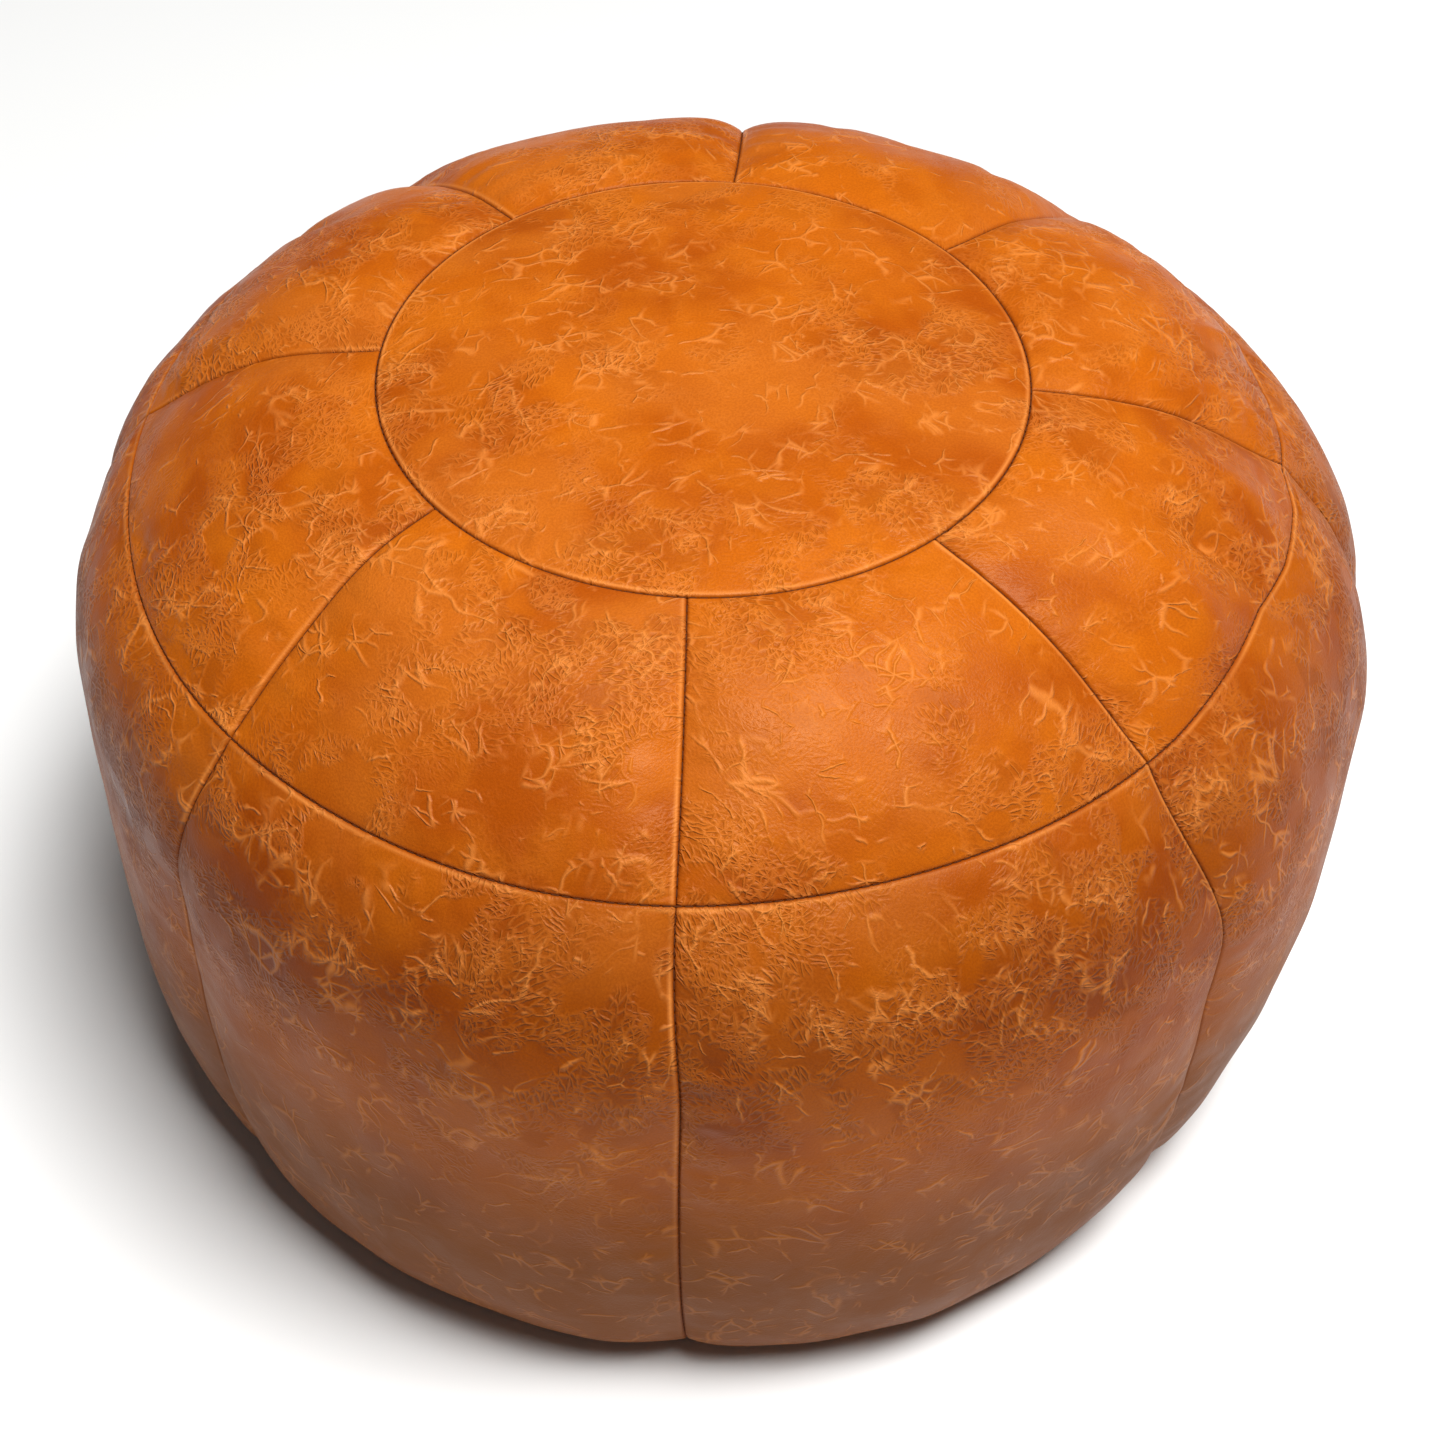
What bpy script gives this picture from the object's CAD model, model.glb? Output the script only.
import math

import bpy
import numpy as np
from mathutils import Matrix, Vector


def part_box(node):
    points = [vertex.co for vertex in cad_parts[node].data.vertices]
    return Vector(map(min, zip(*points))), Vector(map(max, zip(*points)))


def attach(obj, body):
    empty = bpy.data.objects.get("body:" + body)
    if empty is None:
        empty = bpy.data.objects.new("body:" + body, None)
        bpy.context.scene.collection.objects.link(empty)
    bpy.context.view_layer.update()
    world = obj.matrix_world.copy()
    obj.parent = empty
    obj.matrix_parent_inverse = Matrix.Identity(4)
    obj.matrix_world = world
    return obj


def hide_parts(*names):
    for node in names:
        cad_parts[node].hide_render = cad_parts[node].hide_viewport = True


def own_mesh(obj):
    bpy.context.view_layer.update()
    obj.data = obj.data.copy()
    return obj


# A stuffed leather floor pouf. Shapes are worked out in millimetres and made in metres. +Z is up and
# the front is -Y. Round seams follow rings, straight seams run from the crown down to the base.

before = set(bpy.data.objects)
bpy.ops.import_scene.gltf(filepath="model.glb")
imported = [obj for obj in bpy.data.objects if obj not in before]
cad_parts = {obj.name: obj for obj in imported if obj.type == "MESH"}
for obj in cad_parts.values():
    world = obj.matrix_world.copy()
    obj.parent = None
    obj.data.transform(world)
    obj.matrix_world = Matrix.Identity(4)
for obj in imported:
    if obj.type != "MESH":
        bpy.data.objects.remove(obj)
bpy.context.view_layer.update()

MM = 0.001
PANELS = 8


def corners(node):
    """A CAD node's lowest and highest corners in millimetres."""
    low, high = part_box(node)
    return np.array(low) / MM, np.array(high) / MM


# sizes read from the CAD model
CAD_THREAD = 0.4           # a seam thread's radius
THREAD_DEPTH = 0.5         # from the leather's face to a thread's middle
SLOPED_DEPTH = 0.35        # the same across and down at the rim, where the face slopes
ZIP_THREAD = 0.3           # the radius of the zip's stitching
CROWN_RADIUS = corners("crown_seam_thread")[1][0] - CAD_THREAD
CROWN_HEIGHT = sum(corners("crown_seam_thread"))[2] / 2 + THREAD_DEPTH
RIM_RADIUS = corners("rim_seam_thread")[1][0] - CAD_THREAD + SLOPED_DEPTH
RIM_HEIGHT = sum(corners("rim_seam_thread"))[2] / 2 + SLOPED_DEPTH
BASE_RADIUS = corners("base_seam_thread")[1][0] - CAD_THREAD
TOP_HEIGHT = corners("top_centre")[1][2]
WIDEST_RADIUS = corners("side_panel_1")[1][0]
RECESS_HEIGHT = corners("zip_stitching")[1][2] + 0.05
STITCH_ROW = corners("zip_stitching")[1][1] - ZIP_THREAD
COIL_LOW, COIL_HIGH = corners("zip_coil_back")

# the stuffed shape between those seams
WIDEST_HEIGHT = 200.0
FLAT_RADIUS = 232.5        # where the side meets the floor
TOP_BULGE = 13.4           # how far a top segment puffs above the straight line between its seams
SHOULDER_ROUNDING = 2.93   # higher keeps the side upright for longer below the rim
FOOT_ROUNDING = (0.862, 0.76)      # lower makes the foot squarer, across and down
TOP_POINTS = 200           # along the line of the wall, from seam to seam
SHOULDER_POINTS = 160
FOOT_POINTS = 300
FLAT_POINTS = 20

# how lopsidedly the stuffing has settled, fitted to the outline and the two round seams
OVAL_WAVES = ((2, 0.0032, 0.0207), (3, 0.001, 0.0063))    # waves round, cosine and sine share
CROWN_SHIFT = (-17.3, -2.4)
CROWN_SLOPE = (0.019, 0.0286)      # the rise for each millimetre right and back
RIM_SHIFT = (-11.7, 7.5)
RIM_SLOPE = (-0.0003, 0.0274)

# the straight seams' angles in degrees at the crown, the rim, the widest line and the foot
SEAM_DEGREES = (
    (-2.5, 2.5, 2, 2),
    (41, 47.5, 46, 46),
    (86.5, 89, 90, 90),
    (131, 131.5, 134, 134),
    (177, 177.5, 178, 178),
    (221.5, 224.5, 219.8, 221.5),
    (269.5, 268.8, 267.5, 269.1),
    (313.5, 316, 318, 322),
)

# where the rim seam leaves its ring, in degrees round, and how far down it goes there
RIM_STOPS = (-60, -40, -28, -20, -12, -3.5, 1.5, 7, 20, 60)
RIM_SHIFTS = (0, 0, -2.5, -4.5, 0.5, 1, -5, -1.5, 0, 0)

# folds: degrees round, distance down the wall, length, width, height (below 0 for a hollow), slant
FOLDS = (
    (-18, 90, 26, 8, -7.5, 8),
    (-28, 80, 36, 13, 4.5, 0),
    (-9, 86, 32, 12, 4.8, 0),
    (14, 112, 16, 3.5, -3.9, 12),
    (19, 108, 18, 5, 2.7, 12),
    (8, 114, 12, 3, -2.25, -14),
    (27, 112, 14, 3.5, -2.7, 8),
    (35, 110, 16, 4, -3.0, -6),
    (56, 104, 20, 5, -3.0, 10),
    (66, 108, 16, 4, -2.4, -8),
    (77, 104, 18, 5, -2.4, 6),
    (101, 104, 18, 5, -2.7, 0),
    (147, 100, 24, 6, -3.3, 8),
    (160, 106, 16, 4, -2.1, -10),
    (-161, 118, 6, 14, -2.4, 0),
    (-136, 96, 22, 4, 1.95, 0),
)

# seams
ROLL = 1.4                 # the radius at which leather turns in at a seam
EDGE = np.array([0, 0.15, 0.4, 0.75, 1.15, 1.6, 2.1, 2.9, 4.0, 5.5])
HANG = np.array([2.0, 6.0])        # how far the turned-in edge hangs inside, row by row
SEAM_GULLY = 3.2           # how far a straight seam lies below the even surface
FRONT_PUFF = 4.0           # how far a panel's middle stands above that, round the front
BACK_PUFF = 7.0            # the same round the back, where the leather has puffed out more
SEGMENT_GRID = (34, 52)    # points down and across a panel, besides those beside its seams
SIDE_GRID = (100, 66)
STITCH_PITCH = 4.0
STITCH_LENGTH = 3.2
STITCH_RADIUS = 0.36
STITCH_DEPTH = 0.8
STITCH_SIDES = 6
STITCH_RINGS = ((-1, 0.02), (-0.94, 0.6), (-0.75, 1), (0.75, 1), (0.94, 0.6), (1, 0.02))

# the base's zip
SLOT_HALF_LENGTH = 190.0
SLOT_HALF_WIDTH = 6.0
RECESS_HALF_LENGTH = 195.0
RECESS_HALF_WIDTH = 19.0
RECESS_SPREAD = 6.0
COIL_FILAMENT = 0.36
COIL_PITCH = 2.0

# the leather's wear
BROWN_BELOW = 250.0        # the height below which it gets browner
BROWN_FADE = 170.0         # how much lower it is as brown as it gets
BROWN_MOST = 0.9
WORKED_HEIGHT = 235.0      # where sitting works the side most
WORKED_SPREAD = 45.0
SEAM_SHADE_WIDTH = 0.6
LIP_AT = 1.5               # the worn lip's distance from its seam
LIP_WIDTH = 0.7
SEED_STEP = 0.13           # metres between two shader patterns of neighbouring seeds

# the simulated walls
CELL_TOP = 24              # cells down a top segment
CELL_SIDE = 60             # cells down a side panel
CELL_ACROSS = 34           # cells across a panel
SIMULATED_SCALE = 10.0     # times life size, at which the cloth's stiffness gives leather's folds
SIMULATED_FRAMES = 25
SLACK_REACH = 40.0         # how far from a seam the leather is gathered
PUSH_LIMIT = 7.0           # the furthest that the simulation may move a point

SACK_DEPTH = 14.0          # from the cover's face to the sack of wadding
WADDING_DEPTH = 17.0

# the camera, fitted to the photograph, and the floor
LENS = 61.8
CAMERA_RAISED = 45.11      # degrees above the horizon
CAMERA_ROLLED = 2.61
LOOKS_AT = (-3.3, 0, 136.6)
STANDS_OFF = 1147.6
FLOOR_SIZE = 12000.0


def wall_line():
    """The cover from the crown seam out and down to the base seam, as rows of radius, height, and
    how much of the crown's lean, the rim's lean and the body's oval each point takes."""
    rows = []
    for t in np.linspace(0, 1, TOP_POINTS):
        radius = CROWN_RADIUS + (RIM_RADIUS - CROWN_RADIUS) * t
        height = CROWN_HEIGHT + (RIM_HEIGHT - CROWN_HEIGHT) * t + TOP_BULGE * 4 * t * (1 - t)
        rows.append((radius, height, 1 - t, t, t))
    for t in np.linspace(1, 0, SHOULDER_POINTS)[1:]:
        radius = WIDEST_RADIUS - (WIDEST_RADIUS - RIM_RADIUS) * t**SHOULDER_ROUNDING
        height = WIDEST_HEIGHT + (RIM_HEIGHT - WIDEST_HEIGHT) * t
        rows.append((radius, height, 0, t * t * (3 - 2 * t), 1))
    across, down = FOOT_ROUNDING
    for t in np.linspace(0, math.pi / 2, FOOT_POINTS)[1:]:
        radius = FLAT_RADIUS + (WIDEST_RADIUS - FLAT_RADIUS) * math.cos(t) ** across
        rows.append((radius, WIDEST_HEIGHT * (1 - math.sin(t) ** down), 0, 0, 1))
    for t in np.linspace(0, 1, FLAT_POINTS)[1:]:
        rows.append((FLAT_RADIUS + (BASE_RADIUS - FLAT_RADIUS) * t, 0, 0, 0, 1 - t))
    return rows


def crown_line():
    """The cover from the middle of the top out to the crown seam, in the same form."""
    drop = TOP_HEIGHT - CROWN_HEIGHT
    return [
        (CROWN_RADIUS * t, TOP_HEIGHT - drop * t**2, 1, 0, 0) for t in np.linspace(0, 1, 120)
    ]


class Line:
    """A line down the cover, read by its length from the start."""

    def __init__(self, rows):
        self.columns = np.array(rows).T
        steps = np.hypot(np.diff(self.columns[0]), np.diff(self.columns[1]))
        self.along = np.concatenate([[0], np.cumsum(steps)])
        self.length = self.along[-1]

    def read(self, s):
        return [np.interp(s, self.along, column) for column in self.columns]

    def radius(self, s):
        return np.interp(s, self.along, self.columns[0])


WALL = Line(wall_line())
CROWN = Line(crown_line())
RIM_AT = WALL.along[TOP_POINTS - 1]    # the rim seam's usual distance down the wall
WIDEST_AT = WALL.along[TOP_POINTS + SHOULDER_POINTS - 2]
SEAM_TURNS = np.radians(SEAM_DEGREES)


def leant(line, s, turn):
    """Points of the cover at a distance down a line and an angle round it, set as lopsidedly as the
    stuffing has settled: the crown and rim have shifted and tipped, and the body is slightly oval."""
    radius, height, crown, rim, body = line.read(s)
    oval = 0
    for waves, cosine, sine in OVAL_WAVES:
        oval = oval + cosine * np.cos(waves * turn) + sine * np.sin(waves * turn)
    radius = radius * (1 + body * oval)
    x, y = radius * np.cos(turn), radius * np.sin(turn)
    lift = crown * (CROWN_SLOPE[0] * x + CROWN_SLOPE[1] * y)
    lift = lift + rim * (RIM_SLOPE[0] * x + RIM_SLOPE[1] * y)
    x = x + crown * CROWN_SHIFT[0] + rim * RIM_SHIFT[0]
    y = y + crown * CROWN_SHIFT[1] + rim * RIM_SHIFT[1]
    return np.stack([x, y, height + lift], axis=-1)


def outward(line, s, turn):
    """The direction out of the cover at each point."""
    step, swing = 1.5, 0.01
    down = leant(line, s + step, turn) - leant(line, s - step, turn)
    sideways = leant(line, s, turn + swing) - leant(line, s, turn - swing)
    normal = np.cross(down, sideways)
    return normal / np.linalg.norm(normal, axis=-1, keepdims=True)


def ripple(points, size, seed, waves=24):
    """A smooth random height, mostly between -1 and 1, whose swells are about one size across."""
    rng = np.random.default_rng(seed)
    ways = rng.normal(size=(waves, points.shape[-1]))
    ways /= np.linalg.norm(ways, axis=1, keepdims=True)
    lengths = size * rng.uniform(1.4, 2.8, waves)
    starts = rng.uniform(0, 2 * math.pi, waves)
    total = np.zeros(points.shape[:-1])
    for way, length, start in zip(ways, lengths, starts):
        total += np.sin(points @ way * (2 * math.pi / length) + start)
    return total / math.sqrt(waves / 2) * 0.6


def seam_turn(number, s):
    """A straight seam's angle at a distance down the wall."""
    lap, number = divmod(number, PANELS)
    crown, rim, widest, foot = SEAM_TURNS[number]
    above = crown + (rim - crown) * s / RIM_AT
    part = np.clip((s - WIDEST_AT) / (WALL.length - WIDEST_AT), 0, 1)
    below = widest + (foot - widest) * part**2 + (rim - widest) * WALL.read(s)[3]
    return np.where(s < RIM_AT, above, below) + 2 * math.pi * lap


def rim_at(turn):
    """How far down the wall the rim seam lies, which wanders a little."""
    degrees = (np.degrees(turn) + 180) % 360 - 180
    wander = np.interp(degrees, RIM_STOPS, RIM_SHIFTS)
    return RIM_AT + wander + np.sin(5 * turn + 1) * np.cos(2 * turn)


def stations(length, count):
    """Distances across a panel, close together by its seams. The first axis counts them."""
    length = np.asarray(length, float)
    reach = EDGE[-1]
    near = [np.full(length.shape, e) for e in EDGE]
    inner = [reach + (length - 2 * reach) * k / (count + 1) for k in range(1, count + 1)]
    far = [length - e for e in EDGE[::-1]]
    return np.stack(near + inner + far)


def swell(away, reach=14.0):
    """How fully a panel has puffed out at a distance from its seam, from 0 to 1."""
    return 1 - np.exp(-np.maximum(away, 0) / reach)


def turned_in(*distances):
    """How deep the leather has rolled in beside its nearest seams."""
    level = 1.0
    for away in distances:
        near = 1 - np.clip(away / ROLL, 0, 1)
        level = level * np.sqrt(np.clip(1 - near**2, 0, 1))
    return ROLL * (1 - level)


def pucker(away, along, seed, height=0.55):
    """Small gathers that run off a seam."""
    rng = np.random.default_rng(seed)
    total = 0
    for length in rng.uniform(9, 24, 7):
        total = total + np.sin(along * 2 * math.pi / length + rng.uniform(0, 6.28))
    strength = 0.6 + 0.4 * np.sin(along / rng.uniform(25, 45) + rng.uniform(0, 6.28))
    away = np.maximum(away, 0)
    return height * strength * total / 2.6 * (away / 7) * np.exp(1 - away / 7)


def fold(s, turn, degrees, middle, length, width, height, slant):
    """A long low ridge, or a hollow with a negative height, at an angle in degrees and a distance
    down the wall."""
    side = (np.degrees(turn) - degrees + 180) % 360 - 180
    across = np.radians(side) * WALL.radius(s)
    down = s - middle
    c, d = math.cos(math.radians(slant)), math.sin(math.radians(slant))
    along, aside = down * c + across * d, across * c - down * d
    return height * np.exp(-((along / length) ** 2) - (aside / width) ** 2)


def wall_height(s, turn, left, right, above, below, seeds, puff):
    """How far the leather of a wall panel stands out from the even surface, given the distances to
    its four seams."""
    body = (puff * swell(left) * swell(right) - SEAM_GULLY) * swell(above) * swell(below)
    points = leant(WALL, s, turn)
    clear = swell(above, 16) * swell(below, 16)
    body = body + (1.2 * ripple(points, 60, 11) + 0.5 * ripple(points, 26, 12)) * clear
    length = WALL.radius(s) * turn
    extra = 0
    seams = ((left, s), (right, s), (above, length), (below, length))
    for number, (away, along) in enumerate(seams):
        extra = extra + pucker(away, along, seeds + number)
    for each in FOLDS:
        extra = extra + fold(s, turn, *each)
    edge = swell(left, 5) * swell(right, 5) * swell(above, 5) * swell(below, 5)
    return body + extra * edge


def mesh_piece(name, points, faces, marks=()):
    """A smooth mesh object from points in millimetres, with numbers or vectors marked on them."""
    mesh = bpy.data.meshes.new(name)
    mesh.from_pydata((np.asarray(points) * MM).tolist(), [], faces)
    mesh.shade_smooth()
    for mark, values in marks:
        values = np.asarray(values, np.float32)
        kind, key = ("FLOAT_VECTOR", "vector") if values.ndim == 2 else ("FLOAT", "value")
        mesh.attributes.new(mark, kind, "POINT").data.foreach_set(key, values.ravel())
    piece = bpy.data.objects.new(name, mesh)
    bpy.context.scene.collection.objects.link(piece)
    return piece


def grid_faces(rows, columns, closed=False):
    """The quads of a grid of points, closed on itself round its columns or not."""
    index = np.arange(rows * columns).reshape(rows, columns)
    if closed:
        index = np.concatenate([index, index[:, :1]], axis=1)
    return np.stack([index[:-1, :-1], index[1:, :-1], index[1:, 1:], index[:-1, 1:]], -1)


def placed(piece, body, slot, material, *nodes):
    """Puts a piece on its body, in place of its CAD nodes, with its material."""
    piece.data.materials.append(material)
    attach(piece, body)
    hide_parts(*nodes)
    return piece


def hide_place(x, y, seed):
    """Where each point of a panel lies on the flat hide, in metres: every panel was cut from another
    place and at another angle."""
    rng = np.random.default_rng(1000 + seed)
    spin = rng.uniform(0, 2 * math.pi)
    c, d = math.cos(spin), math.sin(spin)
    at_x, at_y = rng.uniform(-3, 3, 2)
    x, y = np.ravel(x) * MM, np.ravel(y) * MM
    return np.stack([x * c - y * d + at_x, x * d + y * c + at_y, 0 * x], -1)


def leather_marks(points, flat, nearest, lip, seed):
    """What the leather's material reads: the place on the hide, the seam's shade, its worn lip, how
    brown the leather has become towards the floor, and how much sitting has worked it."""
    low = np.clip((BROWN_BELOW - points[:, 2]) / BROWN_FADE, 0, 1)
    shoulder = np.exp(-(((points[:, 2] - WORKED_HEIGHT) / WORKED_SPREAD) ** 2))
    return [
        ("hide", hide_place(*flat, seed)),
        ("seam", np.exp(-nearest.ravel() / SEAM_SHADE_WIDTH)),
        ("lip", lip.ravel()),
        ("foot", BROWN_MOST * low * low * (3 - 2 * low)),
        ("worked", shoulder),
    ]


def lip_mark(away, points, seed):
    """Where a seam's raised edge has worn light."""
    wear = np.clip(0.6 + 0.5 * ripple(points, 30, seed), 0, 1)
    return wear * np.exp(-(((away - LIP_AT) / LIP_WIDTH) ** 2))


def hung(rows, columns):
    """How deep the outer rows and columns of a panel's grid hang inside, and its faces without the
    needless corners."""
    ring = len(HANG)
    depth = np.zeros((rows, columns))
    for k, hang in enumerate(HANG):
        at = ring - 1 - k
        depth[[at, -1 - at], :] = np.maximum(depth[[at, -1 - at], :], hang)
        depth[:, [at, -1 - at]] = np.maximum(depth[:, [at, -1 - at]], hang)
    row, column = np.mgrid[0 : rows - 1, 0 : columns - 1]
    edge_row = (row < ring) | (row >= rows - 1 - ring)
    edge_column = (column < ring) | (column >= columns - 1 - ring)
    return depth, grid_faces(rows, columns)[~(edge_row & edge_column)].tolist()


def grown(values):
    """A grid of values with its edges repeated for the rows and columns that hang inside."""
    return np.pad(values, len(HANG), mode="edge")


def wall_grid(number, upper):
    """A wall panel's grid. For each point: its distance down the wall, its angle, its share of the
    way across the panel and down it, and its distances from the four seams."""
    down_count, count = SEGMENT_GRID if upper else SIDE_GRID
    share = stations(200.0, count) / 200.0
    rim_turns = seam_turn(number, RIM_AT) * (1 - share) + seam_turn(number + 1, RIM_AT) * share
    rim = rim_at(rim_turns)
    start, end = (np.zeros_like(rim), rim) if upper else (rim, np.full_like(rim, WALL.length))
    s = start + stations(end - start, down_count)
    low, high = seam_turn(number, s), seam_turn(number + 1, s)
    width = (high - low) * WALL.radius(s)
    columns = np.arange(share.size)[None, None, :]
    across = np.take_along_axis(stations(width, count), columns, 0)[0]
    part = across / width
    down = (s - start) / (end - start)
    return s, low + (high - low) * part, part, down, (across, width - across, s - start, end - s)


def wall_panel(number, upper, push):
    """The leather of a top segment, or of the side panel below it."""
    s, turn, part, down, distances = wall_grid(number, upper)
    left, right, above, _ = distances
    behind = 20 < np.degrees(turn.mean()) % 360 < 170
    puff = BACK_PUFF if behind else FRONT_PUFF
    height = wall_height(s, turn, *distances, 100 * number + 10 * upper, puff)
    height = height + read_cells(push, down + (0 if upper else 1), number + part)
    surface = leant(WALL, s, turn)
    lip = lip_mark(right, surface, 31)
    if not upper:
        lip = np.maximum(lip, lip_mark(above, surface, 32))

    hang, faces = hung(*grown(s).shape)
    depth = grown(turned_in(*distances)) + hang
    flat = grown((left - right) / 2), grown(s)
    s, turn = grown(s), grown(turn)
    points = leant(WALL, s, turn) + outward(WALL, s, turn) * (grown(height) - depth)[..., None]
    points[..., 2] = np.maximum(points[..., 2], 0)
    points = points.reshape(-1, 3)
    nearest = grown(np.minimum.reduce(distances))
    marks = leather_marks(points, flat, nearest, grown(lip), number + (0 if upper else 20))
    kind = "segment" if upper else "side"
    return mesh_piece(f"leather_{kind}_{number + 1}", points, faces, marks)


def crown_panel():
    """The round centre of the top, from its middle out to its hanging edge."""
    inner = np.linspace(2, CROWN.length - EDGE[-1], 44)[:-1]
    rows = np.concatenate([inner, CROWN.length - EDGE[::-1], [CROWN.length] * len(HANG)])
    turns = np.linspace(0, 2 * math.pi, 300, endpoint=False)
    s, turn = np.meshgrid(rows, turns, indexing="ij")
    away = CROWN.length - s
    surface = leant(CROWN, s, turn)
    clear = swell(away, 16)
    height = 2.0 * swell(away)
    height += (1.0 * ripple(surface, 60, 13) + 0.4 * ripple(surface, 28, 14)) * clear
    height += pucker(away, CROWN_RADIUS * turn, 15, 0.35) * swell(away, 5)
    height -= turned_in(away)
    height[-len(HANG) :] -= HANG[:, None]
    points = (surface + outward(CROWN, s, turn) * height[..., None]).reshape(-1, 3)
    faces = grid_faces(*s.shape, closed=True).reshape(-1, 4).tolist()
    faces.append(list(range(turns.size)))
    flat = points[:, 0], points[:, 1]
    marks = leather_marks(points, flat, away, lip_mark(away, surface, 33), 50)
    return mesh_piece("leather_centre", points, faces, marks)


def recess_rise(x, y):
    """How high the base stands off the floor in the recess along the zip."""
    reach = RECESS_HALF_LENGTH - RECESS_HALF_WIDTH
    away = np.hypot(np.maximum(np.abs(x) - reach, 0), y) - RECESS_HALF_WIDTH
    return RECESS_HEIGHT * (0.5 + 0.5 * np.cos(math.pi * np.clip(away / RECESS_SPREAD, 0, 1)))


def base_grid():
    """A grid over half of the base: x, y, the distances from the middle seam and from the round
    seam, and 1 where the middle seam is the zip's slot."""
    angle = np.linspace(0.02, math.pi - 0.02, 300)
    x = BASE_RADIUS * np.cos(angle)
    slot_end = SLOT_HALF_LENGTH - SLOT_HALF_WIDTH
    past = np.clip(np.abs(x) - slot_end, 0, SLOT_HALF_WIDTH)
    start = np.sqrt(SLOT_HALF_WIDTH**2 - past**2)
    span = BASE_RADIUS * np.sin(angle) - start
    step = EDGE * np.minimum(1, span / 30)[:, None]
    reach = step[:, -1:]
    inner = reach + (span[:, None] - 2 * reach) * np.linspace(0, 1, 58)[1:-1]
    away = np.concatenate([step, inner, span[:, None] - step[:, ::-1]], axis=1).T
    in_slot = np.clip((SLOT_HALF_LENGTH + 2 - np.abs(x)) / 4, 0, 1) * np.ones_like(away)
    return x * np.ones_like(away), start + away, away, span - away, in_slot


def hung_rows(values):
    """A grid of values with its first and last rows repeated for the rows that hang inside."""
    return np.pad(values, ((len(HANG), len(HANG)), (0, 0)), mode="edge")


def base_half(name, side):
    """Half of the base, from the zip's slot or the middle seam out to the round seam."""
    x, y, away, to_round, in_slot = base_grid()
    surface = np.stack([x, y, 0 * x], -1)
    rolled = np.maximum(turned_in(away) * (1 - 0.25 * in_slot), turned_in(to_round))
    slack = 0.5 + 0.5 * ripple(surface, 45, 17) + 0.25 * ripple(surface, 18, 18)
    slack = np.maximum(slack, 0) * swell(away, 8) * swell(to_round, 8)
    height = hung_rows(recess_rise(x, y) + rolled + slack)
    height[: len(HANG)] += HANG[::-1, None] * (1 - 0.97 * in_slot[:1])
    height[-len(HANG) :] += HANG[:, None]
    points = np.stack([hung_rows(x), side * hung_rows(y), height], -1).reshape(-1, 3)
    faces = grid_faces(*height.shape).reshape(-1, 4)
    faces = faces if side < 0 else faces[:, ::-1]
    nearest = hung_rows(np.minimum(np.where(in_slot > 0.5, 9, away), to_round))
    lip = hung_rows(lip_mark(away, surface, 34))
    marks = leather_marks(points, (points[:, 0], points[:, 1]), nearest, lip, 60 + side)
    return mesh_piece(name, points, faces.tolist(), marks)


def read_path(path, along, at):
    """The points at some distances along a path."""
    return np.stack([np.interp(at, along, column) for column in path.T], -1)


def row_of_stitches(path):
    """The points of the stitches along one path: stitch by stitch, ring by ring, side by side."""
    along = np.concatenate([[0], np.cumsum(np.linalg.norm(np.diff(path, axis=0), axis=1))])
    count = int(along[-1] / STITCH_PITCH)
    middles = (np.arange(count) + 0.5) * along[-1] / count
    low = read_path(path, along, middles - STITCH_LENGTH / 2)
    high = read_path(path, along, middles + STITCH_LENGTH / 2)
    way = (high - low) / np.linalg.norm(high - low, axis=1, keepdims=True)
    helper = np.where(np.abs(way[:, 2:]) > 0.9, [[1.0, 0, 0]], [[0, 0, 1.0]])
    aside = np.cross(way, helper)
    aside /= np.linalg.norm(aside, axis=1, keepdims=True)
    over = np.cross(way, aside)
    points = []
    for share, size in STITCH_RINGS:
        centre = (low + high) / 2 + (high - low) / 2 * share
        for number in range(STITCH_SIDES):
            angle = 2 * math.pi * number / STITCH_SIDES
            spoke = aside * math.cos(angle) + over * math.sin(angle)
            points.append(centre + spoke * STITCH_RADIUS * size)
    return np.stack(points, axis=1).reshape(-1, 3)


def stitches(name, paths):
    """Short rounded stitches along some paths."""
    points = np.concatenate([row_of_stitches(np.asarray(path)) for path in paths])
    shape = len(STITCH_RINGS), STITCH_SIDES
    one = grid_faces(*shape, closed=True).reshape(-1, 4)[:, ::-1]
    starts = np.arange(0, len(points), shape[0] * shape[1])
    faces = (one[None] + starts[:, None, None]).reshape(-1, 4)
    return mesh_piece(name, points, faces.tolist())


def under(line, s, turn, height=0.0):
    """Where a thread lies: a little way under the cover's face."""
    level = np.asarray(height - STITCH_DEPTH)
    return leant(line, s, turn) + outward(line, s, turn) * level[..., None]


def straight_seam(number, upper):
    """The points of a straight seam's thread."""
    rim = float(rim_at(seam_turn(number, RIM_AT)))
    start, end = (0.0, rim) if upper else (rim, WALL.length)
    s = np.linspace(start + 2.5, end - 2.5, 300)
    turn = seam_turn(number, s)
    width = (seam_turn(number + 1, s) - turn) * WALL.radius(s)
    height = wall_height(s, turn, 0 * s, width, s - start, end - s, 0, FRONT_PUFF)
    points = under(WALL, s, turn, height)
    points[:, 2] = np.maximum(points[:, 2], STITCH_DEPTH)
    return points


def round_seams():
    """The points of the crown's, the rim's and the base's round threads."""
    turn = np.linspace(0, 2 * math.pi, 721)
    return (
        under(WALL, 0 * turn + 0.01, turn),
        under(WALL, rim_at(turn), turn),
        under(WALL, 0 * turn + WALL.length - 0.01, turn) * [1, 1, 0] + [0, 0, STITCH_DEPTH],
    )


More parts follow.
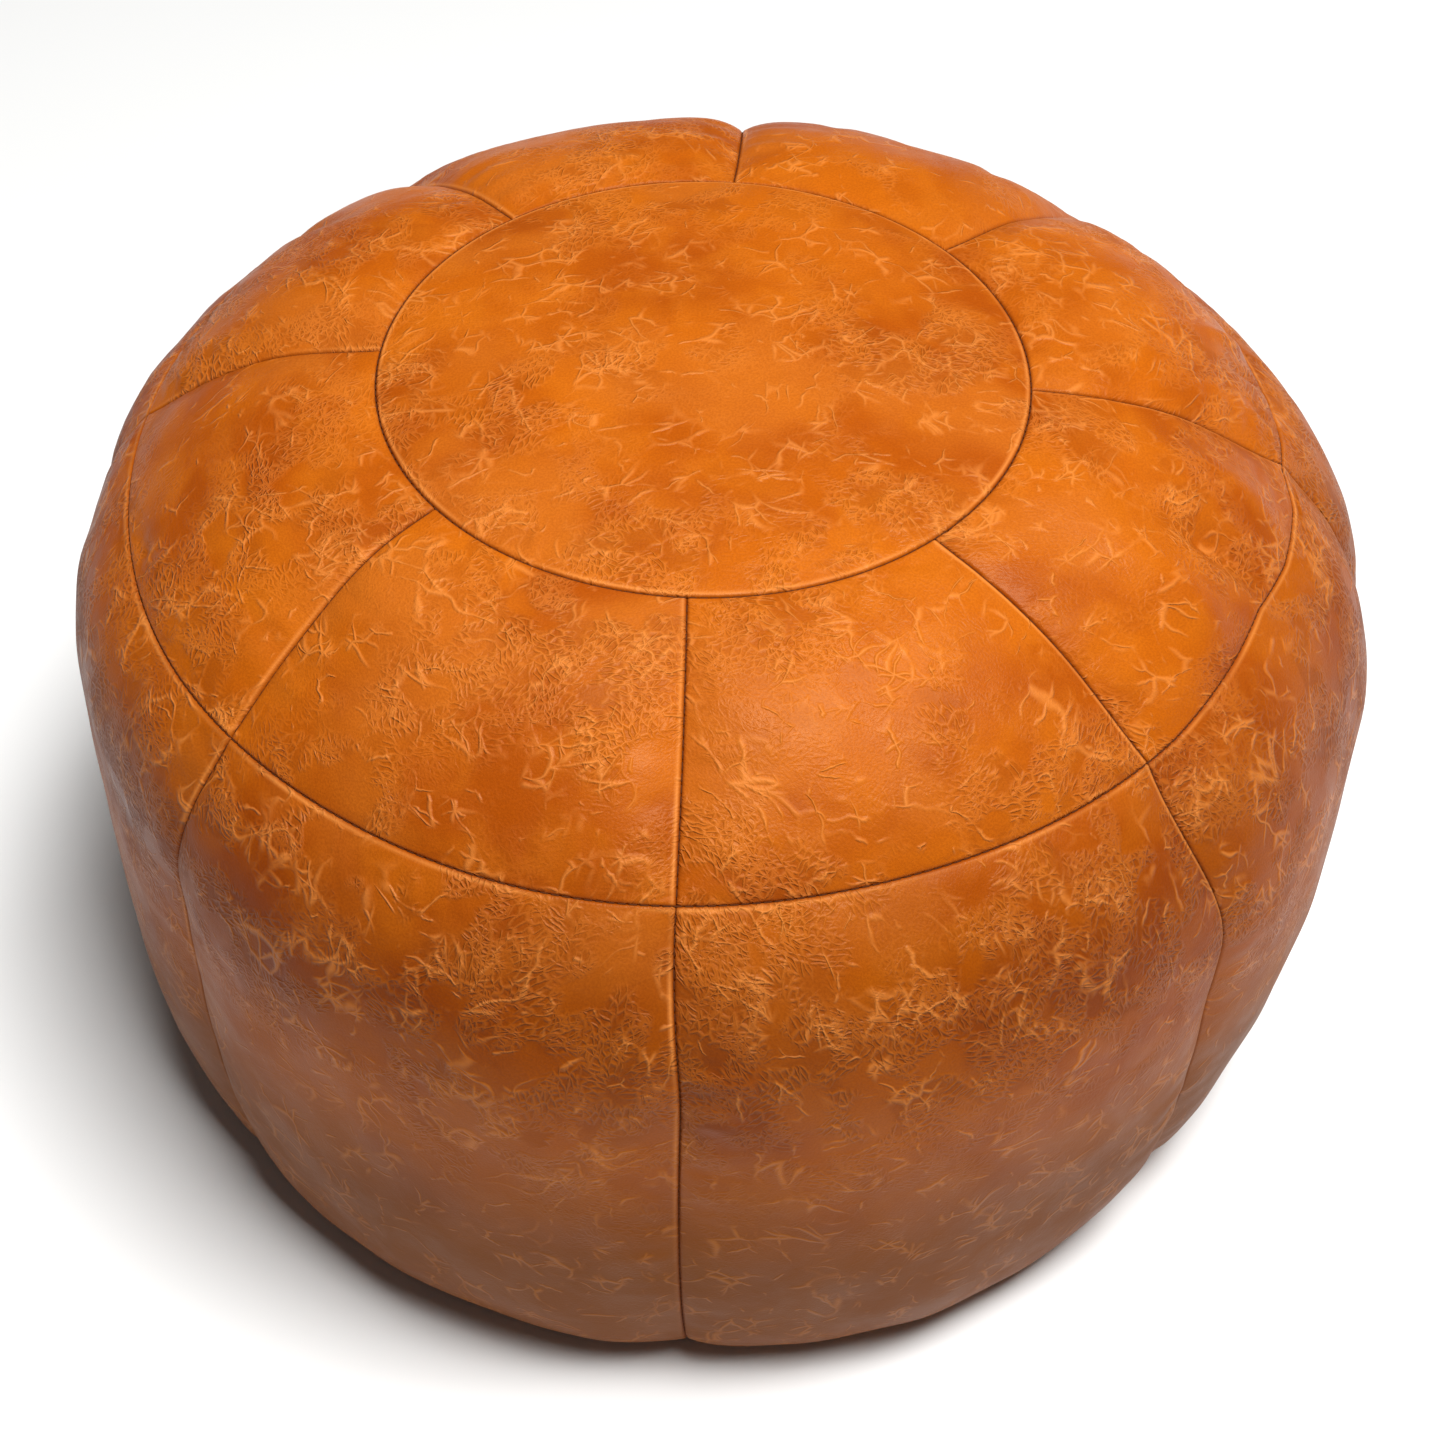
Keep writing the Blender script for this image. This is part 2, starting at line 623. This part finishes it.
def swept(name, path, radius, sides=6):
    """A round filament along a row of points."""
    path = np.asarray(path)
    way = np.gradient(path, axis=0)
    way /= np.linalg.norm(way, axis=1, keepdims=True)
    aside = np.cross(way, [1.0, 0.2, 0.1])
    aside /= np.linalg.norm(aside, axis=1, keepdims=True)
    over = np.cross(way, aside)
    angle = np.linspace(0, 2 * math.pi, sides + 1)[:-1, None]
    ring = aside[:, None] * np.cos(angle) + over[:, None] * np.sin(angle)
    points = (path[:, None] + ring * radius).reshape(-1, 3)
    faces = grid_faces(len(path), sides, closed=True).reshape(-1, 4)[:, ::-1].tolist()
    return mesh_piece(name, points, faces)


def wound_coil(name, side):
    """One side's nylon coil, whose turns reach between the other side's."""
    turns = (COIL_HIGH[0] - COIL_LOW[0]) / COIL_PITCH
    angle = np.linspace(0, 2 * math.pi * turns, int(turns * 12))
    tip, back = COIL_LOW[1] + COIL_FILAMENT, COIL_HIGH[1] - COIL_FILAMENT
    level = (COIL_LOW[2] + COIL_HIGH[2]) / 2
    reach = (COIL_HIGH[2] - COIL_LOW[2]) / 2 - COIL_FILAMENT
    lag = 0.5 if side < 0 else 0
    x = np.minimum(COIL_LOW[0] + COIL_PITCH * (angle / (2 * math.pi) + lag), COIL_HIGH[0])
    y = side * ((tip + back) / 2 + (back - tip) / 2 * np.cos(angle))
    return swept(name, np.stack([x, y, level + reach * np.sin(angle)], -1), COIL_FILAMENT)


def woven_tape(name, side):
    """One side's tape, whose ends past the stops reach to the zip's middle and close the slot."""
    low, high = corners("zip_tape_back")
    left = corners("zip_bottom_stop")[0][0]
    right = corners("zip_top_stops")[1][0]
    x = np.array([low[0], left - 1, left, right, right + 1, high[0]])
    inner = side * (np.array([0, 0, low[1], low[1], 0, 0]) + 0.05)
    outer = np.full(x.size, side * high[1])
    corner_rows = ((inner, low[2]), (outer, low[2]), (outer, high[2]), (inner, high[2]))
    rows = [np.stack([x, y, np.full(x.size, z)], -1) for y, z in corner_rows]
    points = np.stack(rows, axis=1).reshape(-1, 3)
    faces = grid_faces(x.size, 4, closed=True).reshape(-1, 4)[:, ::-side].tolist()
    ends = [[0, 1, 2, 3], list(range(len(points) - 1, len(points) - 5, -1))]
    piece = mesh_piece(name, points, faces + [end[::-side] for end in ends])
    piece.data.shade_flat()
    return piece


def lining(name, runs, depth, seed, capped):
    """A soft layer inside the cover, as rows along its lines at a depth. Capped names the ends that
    are closed."""
    turns = np.linspace(0, 2 * math.pi, 160, endpoint=False)
    layers = []
    for line, start, end, count in runs:
        s, turn = np.meshgrid(np.linspace(start, end, count), turns, indexing="ij")
        surface = leant(line, s, turn)
        slack = 1.5 * ripple(surface, 45, seed) + 0.6 * ripple(surface, 16, seed + 1)
        layers.append(surface - outward(line, s, turn) * (depth - np.minimum(slack, 0))[..., None])
    points = np.concatenate(layers)
    rows, columns = points.shape[:2]
    faces = grid_faces(rows, columns, closed=True).reshape(-1, 4).tolist()
    if "start" in capped:
        faces.append(list(range(columns)))
    if "end" in capped:
        faces.append(list(range((rows - 1) * columns, rows * columns))[::-1])
    return mesh_piece(name, points.reshape(-1, 3), faces)


class Shader:
    """A material's node tree, with a short call for each kind of node."""

    def __init__(self, name):
        self.material = bpy.data.materials.new(name)
        self.material.use_nodes = True
        self.tree = self.material.node_tree
        self.surface = self.tree.nodes["Principled BSDF"]

    def add(self, kind, inputs, **settings):
        node = self.tree.nodes.new("ShaderNode" + kind)
        for key, value in settings.items():
            setattr(node, key, value)
        for key, value in inputs.items():
            self.feed(node.inputs[key], value)
        return node

    def feed(self, socket, value):
        """Links a socket to another node's, or sets its number or colour."""
        if isinstance(value, bpy.types.NodeSocket):
            self.tree.links.new(value, socket)
        elif isinstance(value, tuple) and len(value) == 3 and socket.type == "RGBA":
            socket.default_value = (*value, 1)
        else:
            socket.default_value = value

    def set(self, **inputs):
        """Sets the surface's sockets, named with _ for a space."""
        for key, value in inputs.items():
            self.feed(self.surface.inputs[key.replace("_", " ")], value)

    def mark(self, name):
        return self.add("Attribute", {}, attribute_name=name)

    def place(self):
        return self.add("TexCoord", {}).outputs["Object"]

    def math(self, operation, a, b=0.0, clamp=False):
        return self.add("Math", {0: a, 1: b}, operation=operation, use_clamp=clamp).outputs[0]

    def apart(self, place, seed):
        """The place moved well off, so that a pattern there has nothing to do with the others."""
        inputs = {0: place, 1: (0, 0, SEED_STEP * seed)}
        return self.add("VectorMath", inputs, operation="ADD").outputs[0]

    def turned(self, place, degrees):
        inputs = {"Vector": place, "Angle": math.radians(degrees)}
        return self.add("VectorRotate", inputs, rotation_type="Z_AXIS").outputs[0]

    def noise(self, place, size, detail=2.0, roughness=0.5, seed=0):
        """Soft random patches about a size across, in millimetres."""
        inputs = {"Vector": self.apart(place, seed), "Scale": 1 / (size * MM), "Detail": detail}
        inputs["Roughness"] = roughness
        return self.add("TexNoise", inputs).outputs[0]

    def drifted(self, place, size, amount, seed=0):
        """The place moved about by up to an amount in millimetres, so that patterns wander."""
        inputs = {"Vector": self.apart(place, seed), "Scale": 1 / (size * MM), "Detail": 2.0}
        drift = self.add("TexNoise", inputs).outputs["Color"]
        centred = self.add("VectorMath", {0: drift, 1: (0.5, 0.5, 0.5)}, operation="SUBTRACT")
        amount = (2 * amount * MM,) * 3
        inputs = {0: centred.outputs[0], 1: amount, 2: place}
        return self.add("VectorMath", inputs, operation="MULTIPLY_ADD").outputs[0]

    def stretched(self, place, factors):
        return self.add("VectorMath", {0: place, 1: factors}, operation="MULTIPLY").outputs[0]

    def cells(self, place, size, feature="F1"):
        """Flat cells about a size across, in millimetres: the distance to a middle or an edge."""
        inputs = {"Vector": place, "Scale": 1 / (size * MM)}
        cells = self.add("TexVoronoi", inputs, feature=feature, voronoi_dimensions="2D")
        return cells.outputs["Distance"]

    def span(self, value, low, high, to_low=0.0, to_high=1.0):
        """A value brought from one range to another, eased at both ends and held past them."""
        inputs = {"Value": value, 1: low, 2: high, 3: to_low, 4: to_high}
        return self.add("MapRange", inputs, interpolation_type="SMOOTHSTEP").outputs[0]

    def mix(self, factor, a, b, blend="MIX"):
        inputs = {0: factor, 6: a, 7: b}
        return self.add("Mix", inputs, data_type="RGBA", blend_type=blend).outputs[2]

    def times(self, *values):
        """Some values multiplied together."""
        total = values[0]
        for value in values[1:]:
            total = self.math("MULTIPLY", total, value)
        return total

    def bump(self, height, distance):
        inputs = {"Height": height, "Distance": distance * MM, "Strength": 1.0}
        self.set(Normal=self.add("Bump", inputs).outputs[0])


# the leather's colours
DARK = (0.36, 0.066, 0.0022)
TAN = (0.49, 0.108, 0.0032)
PALE = (0.58, 0.150, 0.0070)
ROSY = (0.50, 0.125, 0.0110)
VEIN = (0.88, 0.320, 0.0700)
VALLEY = (0.17, 0.024, 0.0015)
FOOT = (0.150, 0.042, 0.0030)
SHADED = (0.55, 0.50, 0.40)    # what sitting multiplies the colour by


def crinkled(m, place, pitch, spread, seed):
    """Short wavy ridges about a pitch apart, which lie one way in one patch and another way in the
    next, with each ridge's spread as a share of the pitch."""
    place = m.drifted(place, 5 * pitch, 1.2 * pitch, seed)
    place = m.drifted(place, 1.6 * pitch, 0.3 * pitch, seed)
    total = 0.0
    for number, way in enumerate((10, 70, 130)):
        laid = m.stretched(m.turned(place, way), (1, 0.40, 1))
        here = m.span(m.noise(place, 7 * pitch, 1, 0.5, seed + 4 + number), 0.45, 0.56)
        ridges = m.span(m.cells(laid, pitch, "DISTANCE_TO_EDGE"), 0.0, spread, 1.0, 0.0)
        total = m.math("MAXIMUM", total, m.times(ridges, here))
    return total


def crinkle_patches(m, hide, loose, worked, smooth):
    """Where the leather is crinkled: in islands, most of them where sitting works it."""
    island = m.span(m.noise(loose, 22, 1.5, 0.45, 6), 0.40, 0.50)
    region = m.math("ADD", m.noise(hide, 75, 2, 0.5, 16), m.times(worked, 0.22))
    return m.times(island, m.span(region, 0.42, 0.66, 0.15, 1.0), smooth)


def broken_veins(m, loose, foot):
    """Long pale creases with gaps, and a wider broken web, both fainter at the foot."""
    veins = crinkled(m, loose, 9.0, 0.11, 30)
    veins = m.times(veins, m.span(m.noise(loose, 19, 2, 0.5, 7), 0.48, 0.62))
    web = m.cells(m.drifted(loose, 6, 2.0, 2), 22, "DISTANCE_TO_EDGE")
    web = m.span(web, 0.0, 0.045, 1.0, 0.0)
    web = m.times(web, m.span(m.noise(loose, 13, 2, 0.6, 8), 0.52, 0.64))
    return m.times(m.math("MAXIMUM", veins, web), m.math("SUBTRACT", 1.0, m.times(foot, 0.5)))


def leather(name, shade=1.0, shine=0.37):
    """Waxed pull-up leather: tan with smooth rosy patches, patches of fine crinkle, pale broken
    veins and a fine grain, dark in the seams, worn pale along their lips and browner at the foot.
    Shade multiplies its colours, and shine is its usual roughness."""
    m = Shader(name)
    dark, tan, pale, rosy, vein, valley_colour, foot_colour = (
        tuple(c * shade for c in colour) for colour in (DARK, TAN, PALE, ROSY, VEIN, VALLEY, FOOT)
    )
    hide = m.mark("hide").outputs["Vector"]
    seam, lip, foot, worked = (
        m.mark(mark).outputs["Fac"] for mark in ("seam", "lip", "foot", "worked")
    )
    loose = m.drifted(hide, 26, 8, 1)
    smooth = m.math("SUBTRACT", 1.0, foot)
    patch = crinkle_patches(m, hide, loose, worked, smooth)
    crinkle = crinkled(m, hide, 2.3, 0.30, 20)
    ridge = m.times(patch, crinkle)
    valley = m.times(patch, m.math("SUBTRACT", 1.0, crinkle))
    veins = broken_veins(m, loose, foot)
    grain = m.noise(hide, 1.0, 2, 0.6, 18)

    colour = m.mix(m.span(m.noise(hide, 90, 3, 0.55, 3), 0.36, 0.64), dark, tan)
    blotch = m.span(m.noise(loose, 26, 2, 0.5, 4), 0.40, 0.66)
    flush = m.span(m.noise(hide, 80, 2, 0.5, 5), 0.50, 0.64)
    for amount, layer in (
        (m.times(blotch, 0.35), pale),
        (m.times(flush, smooth, 0.6), rosy),
        (m.span(grain, 0.35, 0.65, 0.20, 0.0), valley_colour),
        (m.times(valley, 0.26), valley_colour),
        (m.times(ridge, 0.15), vein),
    ):
        colour = m.mix(amount, colour, layer)
    colour = m.mix(worked, colour, SHADED, "MULTIPLY")
    for amount, layer in (
        (foot, foot_colour),
        (m.times(veins, 0.30), vein),
        (m.times(lip, smooth, 0.5), vein),
        (m.times(seam, 0.75), valley_colour),
    ):
        colour = m.mix(amount, colour, layer)
    m.set(Base_Color=colour)

    rough = m.span(m.noise(loose, 30, 3, 0.6, 9), 0.35, 0.65, shine - 0.04, shine + 0.07)
    rough = m.math("ADD", rough, m.times(foot, 0.15))
    m.set(Roughness=m.math("ADD", rough, m.times(valley, 0.08)))
    relief = m.times(ridge, 0.55)
    for height, share in ((veins, 0.55), (grain, 0.20), (m.noise(loose, 11, 2, 0.5, 15), 0.45)):
        relief = m.math("ADD", relief, m.times(height, share))
    m.bump(relief, 0.8)
    m.set(Specular_IOR_Level=0.11, Specular_Tint=(1.0, 0.82, 0.56))
    return m.material


def thread():
    m = Shader("thread")
    place = m.place()
    twist = m.noise(m.stretched(place, (1, 1, 1.5)), 0.6, 2)
    m.set(Base_Color=m.mix(twist, (0.040, 0.010, 0.003), (0.13, 0.034, 0.009)))
    m.set(Roughness=m.span(twist, 0.3, 0.7, 0.7, 0.9), Specular_IOR_Level=0.1)
    m.bump(twist, 0.1)
    return m.material


def tape():
    """Woven tape: fine ribs along it, crossed by finer threads."""
    m = Shader("woven_tape")
    place = m.place()
    inputs = {"Vector": place, "Scale": 1 / (2 * MM), "Distortion": 0.2}
    ribs = m.add("TexWave", inputs, bands_direction="Y").outputs["Fac"]
    inputs = {"Vector": place, "Scale": 1 / (1.2 * MM), "Distortion": 0.2}
    picks = m.add("TexWave", inputs, bands_direction="X").outputs["Fac"]
    weave = m.times(ribs, picks)
    wear = m.noise(place, 12, 3)
    colour = m.mix(weave, (0.035, 0.016, 0.008), (0.12, 0.055, 0.028))
    m.set(Base_Color=m.mix(m.times(wear, 0.3), colour, (0.16, 0.09, 0.05)))
    m.set(Roughness=m.span(wear, 0.3, 0.7, 0.7, 0.9), Sheen_Weight=0.2)
    m.bump(weave, 0.15)
    return m.material


def nylon():
    m = Shader("nylon_coil")
    wear = m.noise(m.place(), 3, 3)
    m.set(Base_Color=m.mix(wear, (0.06, 0.028, 0.014), (0.13, 0.065, 0.034)))
    m.set(Roughness=m.span(wear, 0.3, 0.7, 0.3, 0.5))
    m.bump(m.noise(m.place(), 0.5, 2), 0.03)
    return m.material


def old_brass():
    """Antique brass plating, brown where it hasn't been rubbed."""
    m = Shader("antique_brass")
    place = m.place()
    stain = m.span(m.noise(place, 4, 4, 0.65), 0.38, 0.62)
    speck = m.noise(place, 0.8, 3)
    colour = m.mix(stain, (0.50, 0.34, 0.14), (0.20, 0.11, 0.045))
    m.set(Base_Color=m.mix(m.times(speck, 0.3), colour, (0.10, 0.05, 0.02)))
    m.set(Metallic=1.0, Roughness=m.span(stain, 0.0, 1.0, 0.28, 0.5))
    m.bump(speck, 0.04)
    return m.material


def calico():
    m = Shader("calico")
    place = m.place()
    weave = m.noise(m.stretched(place, (1, 1, 3)), 0.9, 2)
    fleck = m.span(m.noise(place, 5, 4, 0.7), 0.58, 0.72)
    colour = m.mix(weave, (0.66, 0.60, 0.48), (0.80, 0.75, 0.64))
    m.set(Base_Color=m.mix(fleck, colour, (0.45, 0.36, 0.24)))
    m.set(Roughness=m.span(weave, 0.3, 0.7, 0.85, 0.95))
    m.bump(weave, 0.2)
    return m.material


def wadding():
    m = Shader("wadding")
    tufts = m.noise(m.drifted(m.place(), 20, 6), 7, 5, 0.7)
    m.set(Base_Color=m.mix(tufts, (0.70, 0.67, 0.60), (0.90, 0.88, 0.84)))
    m.set(Roughness=m.span(tufts, 0.3, 0.7, 0.9, 1.0))
    m.bump(tufts, 1.5)
    return m.material


def pale_floor():
    m = Shader("pale_floor")
    cloud = m.noise(m.place(), 400, 3)
    m.set(Base_Color=m.mix(cloud, (0.84, 0.84, 0.83), (0.87, 0.87, 0.86)))
    m.set(Roughness=0.7, Specular_IOR_Level=0.2)
    return m.material


def softened(node, width):
    """Rounds the sharp corners of a CAD piece that shows."""
    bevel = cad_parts[node].modifiers.new("soft_corners", "BEVEL")
    bevel.width = width * MM
    bevel.segments = 2
    bevel.limit_method = "ANGLE"
    bevel.angle_limit = math.radians(35)


def dress(node, material):
    """Gives a CAD piece that shows its real material."""
    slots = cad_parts[node].data.materials
    slots.clear()
    slots.append(material)


def cell_turns(down, around):
    """The place down the wall and round it of a point in the sewn cover's cells: from 0 at the crown
    to 1 at the rim and 2 at the base, and by panels round the cover."""
    number = np.floor(around + 1e-9).astype(int)
    part = around - number
    turn = np.zeros(np.shape(down))
    s = np.zeros(np.shape(down))
    for panel in range(number.max() + 1):
        here = number == panel
        share = part[here]
        rim = rim_at(seam_turn(panel, RIM_AT) * (1 - share) + seam_turn(panel + 1, RIM_AT) * share)
        below = rim + (WALL.length - rim) * (down[here] - 1)
        place = np.where(down[here] < 1, rim * down[here], below)
        s[here] = place
        turn[here] = seam_turn(panel, place) * (1 - share) + seam_turn(panel + 1, place) * share
    return s, turn


def to_seams(down, around, s, turn):
    """How far each place in the cover's cells is from its nearest seam."""
    rim = rim_at(turn)
    part = around % 1
    aside = np.minimum(part, 1 - part) * WALL.radius(s) * 2 * math.pi / PANELS
    return np.minimum.reduce([s, np.abs(s - rim), WALL.length - s, aside])


def weigh(piece, name, weights):
    """A vertex group with its weights in steps."""
    group = piece.vertex_groups.new(name=name)
    steps = np.round(weights.ravel() * 50).astype(int)
    for step in np.unique(steps):
        group.add(np.flatnonzero(steps == step).tolist(), step / 50, "REPLACE")


def sewn_walls(down, around, s, turn, start, ways):
    """The sewn panels as one mesh at the simulation's scale, with its seams and slack weighed."""
    seam = np.zeros(s.shape, bool)
    seam[[0, CELL_TOP, -1], :] = True
    seam[:, ::CELL_ACROSS] = True
    rough = ripple(start, 14, 71) + ripple(start, 30, 72)
    laid = start + ways * (0.3 * rough * ~seam)[..., None]
    faces = grid_faces(*s.shape, closed=True).reshape(-1, 4).tolist()
    piece = mesh_piece("sewn_walls", laid.reshape(-1, 3) * SIMULATED_SCALE, faces)
    weigh(piece, "held", np.where(seam, 1.0, 0.0))
    weigh(piece, "slack", np.exp(-to_seams(down, around, s, turn) / SLACK_REACH))
    return piece


def inflated(piece):
    """The places of a mesh's points in metres, after it has been blown out as a cloth."""
    cloth = piece.modifiers.new("cloth", "CLOTH").settings
    cloth.vertex_group_mass = "held"
    cloth.vertex_group_shrink = "slack"
    cloth.quality = 6
    cloth.mass = 0.4
    cloth.tension_stiffness = cloth.compression_stiffness = 40
    cloth.shear_stiffness = 20
    cloth.bending_stiffness = 10
    cloth.shrink_min = 0.0
    cloth.shrink_max = -0.12       # below 0 it grows, so the leather is cut too large
    cloth.use_pressure = True
    cloth.uniform_pressure_force = 4
    cloth.effector_weights.gravity = 0
    scene = bpy.context.scene
    for number in range(1, SIMULATED_FRAMES + 1):
        scene.frame_set(number)
    shown = piece.evaluated_get(bpy.context.evaluated_depsgraph_get()).to_mesh()
    places = np.zeros(len(shown.vertices) * 3)
    shown.vertices.foreach_get("co", places)
    scene.frame_set(1)
    return places


def stuffed_walls():
    """How far the stuffing pushes the walls out at each cell's corner, from a cloth simulation of
    the sewn panels: every seam is held, and each panel is cut a little larger than the space
    between its seams. A quick trial goes without."""
    down = np.concatenate([np.linspace(0, 1, CELL_TOP + 1), np.linspace(1, 2, CELL_SIDE + 1)[1:]])
    around = np.arange(PANELS * CELL_ACROSS) / CELL_ACROSS
    down, around = np.meshgrid(down, around, indexing="ij")
    s, turn = cell_turns(down, around)
    start = leant(WALL, s, turn)
    ways = outward(WALL, s, turn)
    piece = sewn_walls(down, around, s, turn, start, ways)
    moved = inflated(piece).reshape(start.shape) / MM / SIMULATED_SCALE - start
    bpy.data.objects.remove(piece)
    push = (moved * ways).sum(-1)
    return PUSH_LIMIT * np.tanh(push / PUSH_LIMIT)


def read_cells(grid, down, around):
    """Reads the simulated push smoothly between its points."""
    row = np.where(down < 1, down * CELL_TOP, CELL_TOP + (down - 1) * CELL_SIDE)
    column = around * CELL_ACROSS
    total = np.zeros(np.shape(down))
    for step_row, weight_row in spline_weights(row):
        for step_column, weight_column in spline_weights(column):
            at_row = np.clip(step_row, 0, grid.shape[0] - 1)
            total += weight_row * weight_column * grid[at_row, step_column % grid.shape[1]]
    return total


def spline_weights(at):
    """The four nearest grid lines to each place, with their weights on a curve through the points."""
    base = np.floor(at).astype(int)
    t = at - base
    return (
        (base - 1, -0.5 * t + t**2 - 0.5 * t**3),
        (base, 1 - 2.5 * t**2 + 1.5 * t**3),
        (base + 1, 0.5 * t + 2 * t**2 - 1.5 * t**3),
        (base + 2, -0.5 * t**2 + 0.5 * t**3),
    )


def make_cover(material, push):
    crown = placed(crown_panel(), "pouf", "cover_leather", material, "top_centre")
    for number in range(PANELS):
        for upper, node in ((True, "top_segment"), (False, "side_panel")):
            piece = wall_panel(number, upper, push)
            placed(piece, "pouf", "cover_leather", material, f"{node}_{number + 1}")


def make_base(material):
    for side, node in ((1, "base_panel_back"), (-1, "base_panel_front")):
        piece = base_half(f"leather_{node}", side)
        placed(piece, "pouf", "base_leather", material, node)


def make_threads(material):
    crown, rim, base = round_seams()
    segments = [straight_seam(number, True) for number in range(PANELS)]
    sides = [straight_seam(number, False) for number in range(PANELS)]
    reach = corners("zip_stitching")[1][0] - 2
    level = RECESS_HEIGHT - 0.15
    rows = [
        [(-reach, side * STITCH_ROW, level), (reach, side * STITCH_ROW, level)] for side in (-1, 1)
    ]
    made = (
        ("stitches_crown", [crown], "crown_seam_thread"),
        ("stitches_rim", [rim], "rim_seam_thread"),
        ("stitches_base", [base], "base_seam_thread"),
        ("stitches_segments", segments, "segment_seam_thread"),
        ("stitches_sides", sides, "side_seam_thread"),
        ("stitches_zip", rows, "zip_stitching"),
    )
    for name, paths, node in made:
        placed(stitches(name, paths), "pouf", "seam_thread", material, node)


def make_zip():
    coil, metal, woven = nylon(), old_brass(), tape()
    for side, end in ((1, "back"), (-1, "front")):
        wound = placed(wound_coil(f"coil_{end}", side), "pouf", "zip_coil", coil, f"zip_coil_{end}")
        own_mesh(wound)
        band = woven_tape(f"tape_{end}", side)
        placed(band, "pouf", "zip_tape", woven, f"zip_tape_{end}")
    for node in ("zip_top_stops", "zip_bottom_stop", "zip_slider", "zip_pull_tab"):
        dress(node, metal)
        softened(node, 0.18)


def make_stuffing():
    cloth = calico()
    base = Line([(BASE_RADIUS * (1 - t), 0, 0, 0, 0) for t in np.linspace(0, 0.98, 40)])
    top = (CROWN, 3, CROWN.length, 30)
    shoulder = (WALL, 0, RIM_AT, 30)
    side = (WALL, RIM_AT, WALL.length, 70)
    beneath = (base, 0, base.length, 16)
    for name, runs, seed, capped in (
        ("top", [top, shoulder], 41, ["start"]),
        ("wall", [side], 43, []),
        ("base", [beneath], 45, ["end"]),
    ):
        piece = lining(f"sack_of_wadding_{name}", runs, SACK_DEPTH, seed, capped)
        placed(piece, "pouf", "sack_cloth", cloth, f"sack_{name}")
    clear_side = (WALL, RIM_AT + 4, WALL.length - 4, 70)
    runs = [top, shoulder, clear_side, beneath]
    stuffing = lining("packed_wadding", runs, WADDING_DEPTH, 47, ["start", "end"])
    placed(stuffing, "pouf", "filling", wadding(), "filling")


def make_light():
    """A large soft lamp overhead, a little to the right of the pouf and in front of it."""
    light = bpy.data.lights.new("overhead", "AREA")
    light.shape = "RECTANGLE"
    light.size, light.size_y = 1.8, 1.3
    light.energy = 226
    lamp = bpy.data.objects.new("overhead", light)
    lamp.location = (0.75, -0.70, 3.7)
    aim = Vector((0, 0, 0.2))
    lamp.rotation_euler = (aim - lamp.location).to_track_quat("-Z", "Y").to_euler()
    bpy.context.scene.collection.objects.link(lamp)


def make_studio():
    world = bpy.data.worlds.new("studio")
    world.use_nodes = True
    world.node_tree.nodes["Background"].inputs["Color"].default_value = (1, 1, 1, 1)
    world.node_tree.nodes["Background"].inputs["Strength"].default_value = 0.06
    bpy.context.scene.world = world
    bpy.context.scene.view_settings.view_transform = "Standard"
    make_light()
    half = FLOOR_SIZE / 2
    points = [(-half, -half, 0), (half, -half, 0), (half, half, 0), (-half, half, 0)]
    floor = mesh_piece("floor", points, [[0, 1, 2, 3]])
    floor.data.materials.append(pale_floor())


def make_camera():
    """The camera looks down at the pouf from the front, and is rolled a little."""
    lens = bpy.data.cameras.new("camera")
    lens.sensor_width = 36
    lens.lens = LENS
    lens.clip_start = 0.05
    camera = bpy.data.objects.new("camera", lens)
    raised, rolled = math.radians(CAMERA_RAISED), math.radians(CAMERA_ROLLED)
    back = Vector((0, -math.cos(raised), math.sin(raised)))
    right = Vector((1, 0, 0))
    up = Vector((0, math.sin(raised), math.cos(raised)))
    across = right * math.cos(rolled) + up * math.sin(rolled)
    above = up * math.cos(rolled) - right * math.sin(rolled)
    camera.matrix_world = Matrix((across, above, back)).transposed().to_4x4()
    camera.location = Vector(LOOKS_AT) * MM + back * STANDS_OFF * MM
    bpy.context.scene.collection.objects.link(camera)
    bpy.context.scene.camera = camera


make_cover(leather("tan_leather"), stuffed_walls())
make_base(leather("base_leather", 0.85, 0.50))
make_threads(thread())
make_zip()
make_stuffing()
make_studio()
make_camera()
